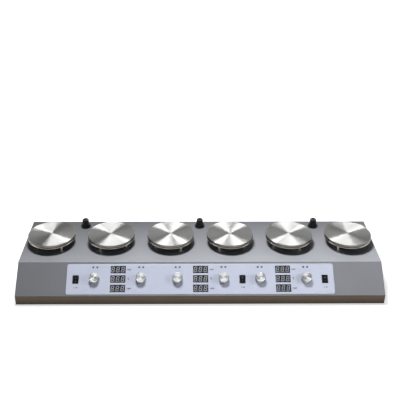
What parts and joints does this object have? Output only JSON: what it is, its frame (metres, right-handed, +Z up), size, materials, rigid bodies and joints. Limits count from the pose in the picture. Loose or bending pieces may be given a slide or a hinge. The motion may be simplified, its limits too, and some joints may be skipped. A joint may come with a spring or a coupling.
{
  "type": "multi-position hotplate stirrer",
  "caption": "Long bench hotplate stirrer with a row of round heated plates, a sloped control panel with displays, knobs and rocker switches, and rod sockets.",
  "frame": {"origin": "on the bench under the middle of the object's box", "axes": "+X along the case to the user's right, +Y to the rear, +Z up"},
  "size_m": [0.9244, 0.275, 0.1221],
  "materials": {
    "cover_paint": "satin grey powder coat",
    "pan_paint": "satin dark taupe paint",
    "rubber": "matte black",
    "zinc_steel": "zinc plated",
    "fascia": "satin silver film",
    "black_plastic": "moulded black",
    "display_face": "dark grey filter",
    "circuit_board": "green solder mask",
    "plate_steel": "circular turned",
    "tray_steel": "bright rolled",
    "mica": "mica laminate",
    "motor_can": "dark grey",
    "rotor_metal": "machined",
    "knob_metal": "spun face",
    "socket_black": "moulded black",
    "brass_metal": "plain",
    "core_iron": "varnished laminations"
  },
  "bodies": {
    "case": {"case_cover": "cover_paint", "base_pan": "pan_paint", "rubber_feet": "rubber", "m4_screws": "zinc_steel", "m3_screws": "zinc_steel", "control_panel": "fascia", "switch_bodies": "black_plastic", "potentiometers": "zinc_steel", "potentiometer_nuts": "zinc_steel", "display_boards": "circuit_board", "board_spacers": "brass_metal", "heater_trays": "tray_steel", "heater_elements": "mica", "plate_standoffs": "zinc_steel", "standoff_nuts": "zinc_steel", "motor_plates": "zinc_steel", "stir_motors": "motor_can", "rod_sockets": "socket_black", "socket_nuts": "zinc_steel", "power_inlet": "black_plastic", "inlet_pins": "brass_metal", "control_board": "circuit_board", "power_transformer": "core_iron", "display_bank_left": "display_face", "display_bank_centre": "display_face", "display_bank_right": "display_face", "hotplate_1": "plate_steel", "hotplate_2": "plate_steel", "hotplate_3": "plate_steel", "hotplate_4": "plate_steel", "hotplate_5": "plate_steel", "hotplate_6": "plate_steel"},
    "knob_1": {"speed_knob_1": "knob_metal", "pot_spindle_1": "zinc_steel"},
    "knob_2": {"speed_knob_2": "knob_metal", "pot_spindle_2": "zinc_steel"},
    "knob_3": {"speed_knob_3": "knob_metal", "pot_spindle_3": "zinc_steel"},
    "knob_4": {"speed_knob_4": "knob_metal", "pot_spindle_4": "zinc_steel"},
    "knob_5": {"speed_knob_5": "knob_metal", "pot_spindle_5": "zinc_steel"},
    "knob_6": {"speed_knob_6": "knob_metal", "pot_spindle_6": "zinc_steel"},
    "rocker_left": {"switch_rocker_left": "black_plastic"},
    "rocker_centre": {"switch_rocker_centre": "black_plastic"},
    "rocker_right": {"switch_rocker_right": "black_plastic"},
    "rotor_1": {"magnet_rotor_1": "rotor_metal"},
    "rotor_2": {"magnet_rotor_2": "rotor_metal"},
    "rotor_3": {"magnet_rotor_3": "rotor_metal"},
    "rotor_4": {"magnet_rotor_4": "rotor_metal"},
    "rotor_5": {"magnet_rotor_5": "rotor_metal"},
    "rotor_6": {"magnet_rotor_6": "rotor_metal"},
    "cap_left": {"socket_cap_left": "socket_black"},
    "cap_centre": {"socket_cap_centre": "socket_black"},
    "cap_right": {"socket_cap_right": "socket_black"}
  },
  "joints": [
    {"name": "knob_1_turn", "type": "hinge", "parent": "case", "child": "knob_1", "pos_m": [-0.2652, -0.10416, 0.05906], "axis": [0, 0.6101, -0.7923], "range_deg": [0, 300]},
    {"name": "knob_2_turn", "type": "hinge", "parent": "case", "child": "knob_2", "pos_m": [-0.1498, -0.10416, 0.05906], "axis": [0, 0.6101, -0.7923], "range_deg": [0, 300]},
    {"name": "knob_3_turn", "type": "hinge", "parent": "case", "child": "knob_3", "pos_m": [-0.0582, -0.10416, 0.05906], "axis": [0, 0.6101, -0.7923], "range_deg": [0, 300]},
    {"name": "knob_4_turn", "type": "hinge", "parent": "case", "child": "knob_4", "pos_m": [0.0572, -0.10416, 0.05906], "axis": [0, 0.6101, -0.7923], "range_deg": [0, 300]},
    {"name": "knob_5_turn", "type": "hinge", "parent": "case", "child": "knob_5", "pos_m": [0.1488, -0.10416, 0.05906], "axis": [0, 0.6101, -0.7923], "range_deg": [0, 300]},
    {"name": "knob_6_turn", "type": "hinge", "parent": "case", "child": "knob_6", "pos_m": [0.2642, -0.10416, 0.05906], "axis": [0, 0.6101, -0.7923], "range_deg": [0, 300]},
    {"name": "rocker_left_tip", "type": "hinge", "parent": "case", "child": "rocker_left", "pos_m": [-0.3125, -0.10343, 0.05811], "axis": [-1, 0, 0], "range_deg": [0, 24]},
    {"name": "rocker_centre_tip", "type": "hinge", "parent": "case", "child": "rocker_centre", "pos_m": [0.1045, -0.10343, 0.05811], "axis": [-1, 0, 0], "range_deg": [0, 24]},
    {"name": "rocker_right_tip", "type": "hinge", "parent": "case", "child": "rocker_right", "pos_m": [0.3115, -0.10343, 0.05811], "axis": [-1, 0, 0], "range_deg": [0, 24]},
    {"name": "rotor_1_spin", "type": "hinge", "parent": "case", "child": "rotor_1", "pos_m": [-0.38625, 0.01388, 0.08758], "axis": [0, 0, 1], "continuous": true},
    {"name": "rotor_2_spin", "type": "hinge", "parent": "case", "child": "rotor_2", "pos_m": [-0.23175, 0.01388, 0.08758], "axis": [0, 0, 1], "continuous": true},
    {"name": "rotor_3_spin", "type": "hinge", "parent": "case", "child": "rotor_3", "pos_m": [-0.07725, 0.01388, 0.08758], "axis": [0, 0, 1], "continuous": true},
    {"name": "rotor_4_spin", "type": "hinge", "parent": "case", "child": "rotor_4", "pos_m": [0.07725, 0.01388, 0.08758], "axis": [0, 0, 1], "continuous": true},
    {"name": "rotor_5_spin", "type": "hinge", "parent": "case", "child": "rotor_5", "pos_m": [0.23175, 0.01388, 0.08758], "axis": [0, 0, 1], "continuous": true},
    {"name": "rotor_6_spin", "type": "hinge", "parent": "case", "child": "rotor_6", "pos_m": [0.38625, 0.01388, 0.08758], "axis": [0, 0, 1], "continuous": true},
    {"name": "cap_left_turn", "type": "hinge", "parent": "case", "child": "cap_left", "pos_m": [-0.312, 0.10538, 0.09958], "axis": [0, 0, -1], "range_deg": [0, 270]},
    {"name": "cap_centre_turn", "type": "hinge", "parent": "case", "child": "cap_centre", "pos_m": [0, 0.10538, 0.09958], "axis": [0, 0, -1], "range_deg": [0, 270]},
    {"name": "cap_right_turn", "type": "hinge", "parent": "case", "child": "cap_right", "pos_m": [0.312, 0.10538, 0.09958], "axis": [0, 0, -1], "range_deg": [0, 270]}
  ]
}
